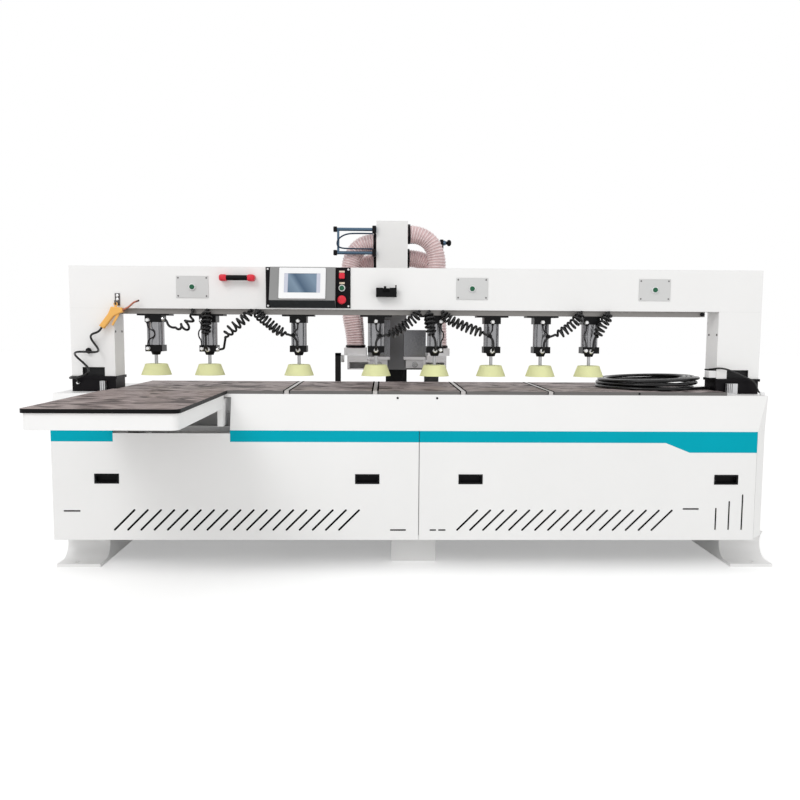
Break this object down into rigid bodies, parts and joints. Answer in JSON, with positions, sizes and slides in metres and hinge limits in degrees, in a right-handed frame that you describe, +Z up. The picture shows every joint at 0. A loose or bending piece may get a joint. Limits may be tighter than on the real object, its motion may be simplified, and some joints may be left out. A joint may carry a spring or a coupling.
{
  "type": "side hole drilling machine",
  "caption": "Floor-standing side hole drilling machine: long table under a portal with press cylinders, and a drilling head that travels on rails behind it.",
  "frame": {"origin": "on the floor under the middle of the machine's outline, cords left out", "axes": "+X along the machine to the operator's right, -Y towards the operator, +Z up"},
  "size_m": [3.292, 1.89, 1.669],
  "materials": {
    "white_paint": "satin powder coat",
    "grey_paint": "satin powder coat",
    "teal_paint": "satin powder coat",
    "black_paint": "satin paint",
    "black_plastic": "matte moulded",
    "board": "dark laminate with a wavy grain",
    "bare_aluminium": "brushed",
    "black_aluminium": "black anodised",
    "bare_steel": "ground",
    "soft_pad": "moulded soft polyurethane",
    "hose_black": "smooth polyurethane",
    "hose_blue": "smooth polyurethane",
    "cable_jacket": "matte jacket",
    "duct_hose": "ribbed translucent film",
    "gun_orange": "moulded",
    "display": "moulded bezel with a dark glass",
    "green_button": "moulded",
    "red_button": "moulded",
    "motor_housing": "dark finned casting"
  },
  "bodies": {
    "base": {"base_frame": "grey_paint", "base_deck": "white_paint", "front_panel_left": "white_paint", "front_panel_right": "white_paint", "base_panels": "white_paint", "accent_strips": "teal_paint", "recess_pulls": "black_plastic", "floor_feet": "white_paint", "table_boards": "board", "table_strips": "bare_aluminium", "side_table_frame": "white_paint", "side_table_top": "board", "portal_frame": "grey_paint", "beam_cover": "white_paint", "column_covers": "white_paint", "column_boots": "black_paint", "clamp_rail": "bare_aluminium", "cylinder_caps": "black_aluminium", "cylinder_barrels": "bare_aluminium", "air_hoses": "hose_black", "gun_hook": "bare_steel", "blow_gun": "gun_orange", "gun_hose": "hose_blue", "power_cable_coil": "cable_jacket", "power_cable_lead": "cable_jacket", "operator_panel": "black_paint", "operator_housing": "grey_paint", "touch_display": "display", "button_plates": "grey_paint", "pull_handle": "black_plastic", "scanner_cradle": "black_plastic", "x_guides": "bare_steel"},
    "carriage": {"carriage_saddle": "grey_paint", "drive_motor": "motor_housing"},
    "pinion": {"drive_pinion": "bare_steel"},
    "feed": {"feed_slide": "bare_aluminium", "head_column": "grey_paint"},
    "head": {"head_slide": "bare_aluminium", "spindle_motors": "motor_housing", "drill_gearboxes": "bare_aluminium", "dust_hoods": "grey_paint", "dust_hoses": "duct_hose", "dust_box": "white_paint", "gate_cylinders": "bare_steel"},
    "spindle_left": {"drill_spindle_left": "bare_steel"},
    "spindle_right": {"drill_spindle_right": "bare_steel"},
    "button_left": {"start_button_left": "green_button"},
    "button_middle": {"start_button_middle": "green_button"},
    "button_right": {"start_button_right": "green_button"},
    "button_panel": {"panel_start_button": "green_button"},
    "button_stop": {"stop_button": "red_button"},
    "trigger": {"gun_trigger": "gun_orange"},
    "press_1": {"press_foot_1": "soft_pad"},
    "press_2": {"press_foot_2": "soft_pad"},
    "press_3": {"press_foot_3": "soft_pad"},
    "press_4": {"press_foot_4": "soft_pad"},
    "press_5": {"press_foot_5": "soft_pad"},
    "press_6": {"press_foot_6": "soft_pad"},
    "press_7": {"press_foot_7": "soft_pad"},
    "press_8": {"press_foot_8": "soft_pad"}
  },
  "joints": [
    {"name": "carriage_x", "type": "slide", "parent": "base", "child": "carriage", "axis": [1, 0, 0], "range_m": [-1.15, 1.33]},
    {"name": "pinion_spin", "type": "hinge", "parent": "carriage", "child": "pinion", "pos_m": [0.11, 0.81505, 0.655], "axis": [0, 0, 1], "continuous": true},
    {"name": "feed_y", "type": "slide", "parent": "carriage", "child": "feed", "axis": [0, 1, 0], "range_m": [-0.06, 0]},
    {"name": "head_z", "type": "slide", "parent": "feed", "child": "head", "axis": [0, 0, 1], "range_m": [-0.077, 0.02]},
    {"name": "spindle_left_spin", "type": "hinge", "parent": "head", "child": "spindle_left", "pos_m": [-0.188, 0.64, 0.897], "axis": [0, 1, 0], "continuous": true},
    {"name": "spindle_right_spin", "type": "hinge", "parent": "head", "child": "spindle_right", "pos_m": [0.008, 0.64, 0.897], "axis": [0, 1, 0], "continuous": true},
    {"name": "press_1_stroke", "type": "slide", "parent": "base", "child": "press_1", "axis": [0, 0, 1], "range_m": [-0.057, 0]},
    {"name": "press_2_stroke", "type": "slide", "parent": "base", "child": "press_2", "axis": [0, 0, 1], "range_m": [-0.057, 0]},
    {"name": "press_3_stroke", "type": "slide", "parent": "base", "child": "press_3", "axis": [0, 0, 1], "range_m": [-0.057, 0]},
    {"name": "press_4_stroke", "type": "slide", "parent": "base", "child": "press_4", "axis": [0, 0, 1], "range_m": [-0.057, 0]},
    {"name": "press_5_stroke", "type": "slide", "parent": "base", "child": "press_5", "axis": [0, 0, 1], "range_m": [-0.057, 0]},
    {"name": "press_6_stroke", "type": "slide", "parent": "base", "child": "press_6", "axis": [0, 0, 1], "range_m": [-0.057, 0]},
    {"name": "press_7_stroke", "type": "slide", "parent": "base", "child": "press_7", "axis": [0, 0, 1], "range_m": [-0.057, 0]},
    {"name": "press_8_stroke", "type": "slide", "parent": "base", "child": "press_8", "axis": [0, 0, 1], "range_m": [-0.057, 0]},
    {"name": "button_left_push", "type": "slide", "parent": "base", "child": "button_left", "axis": [0, 1, 0], "range_m": [0, 0.0035], "stiffness_N_per_m": 600, "springref_m": -0.002},
    {"name": "button_middle_push", "type": "slide", "parent": "base", "child": "button_middle", "axis": [0, 1, 0], "range_m": [0, 0.0035], "stiffness_N_per_m": 600, "springref_m": -0.002},
    {"name": "button_right_push", "type": "slide", "parent": "base", "child": "button_right", "axis": [0, 1, 0], "range_m": [0, 0.0035], "stiffness_N_per_m": 600, "springref_m": -0.002},
    {"name": "button_panel_push", "type": "slide", "parent": "base", "child": "button_panel", "axis": [0, 1, 0], "range_m": [0, 0.0035], "stiffness_N_per_m": 600, "springref_m": -0.002},
    {"name": "button_stop_push", "type": "slide", "parent": "base", "child": "button_stop", "axis": [0, 1, 0], "range_m": [0, 0.0035], "stiffness_N_per_m": 600, "springref_m": -0.002},
    {"name": "trigger_pull", "type": "hinge", "parent": "base", "child": "trigger", "pos_m": [-1.376, -0.037, 1.157], "axis": [0, 1, 0], "range_deg": [0, 12], "stiffness_Nm_per_rad": 0.4, "springref_deg": -8.59}
  ],
  "couplings": [
    {"joint": "pinion_spin", "follows": "carriage_x", "rad_per_m": 27.778},
    {"joint": "press_2_stroke", "follows": "press_1_stroke", "ratio": 1},
    {"joint": "press_3_stroke", "follows": "press_1_stroke", "ratio": 1},
    {"joint": "press_4_stroke", "follows": "press_1_stroke", "ratio": 1},
    {"joint": "press_6_stroke", "follows": "press_5_stroke", "ratio": 1},
    {"joint": "press_7_stroke", "follows": "press_5_stroke", "ratio": 1},
    {"joint": "press_8_stroke", "follows": "press_5_stroke", "ratio": 1}
  ]
}
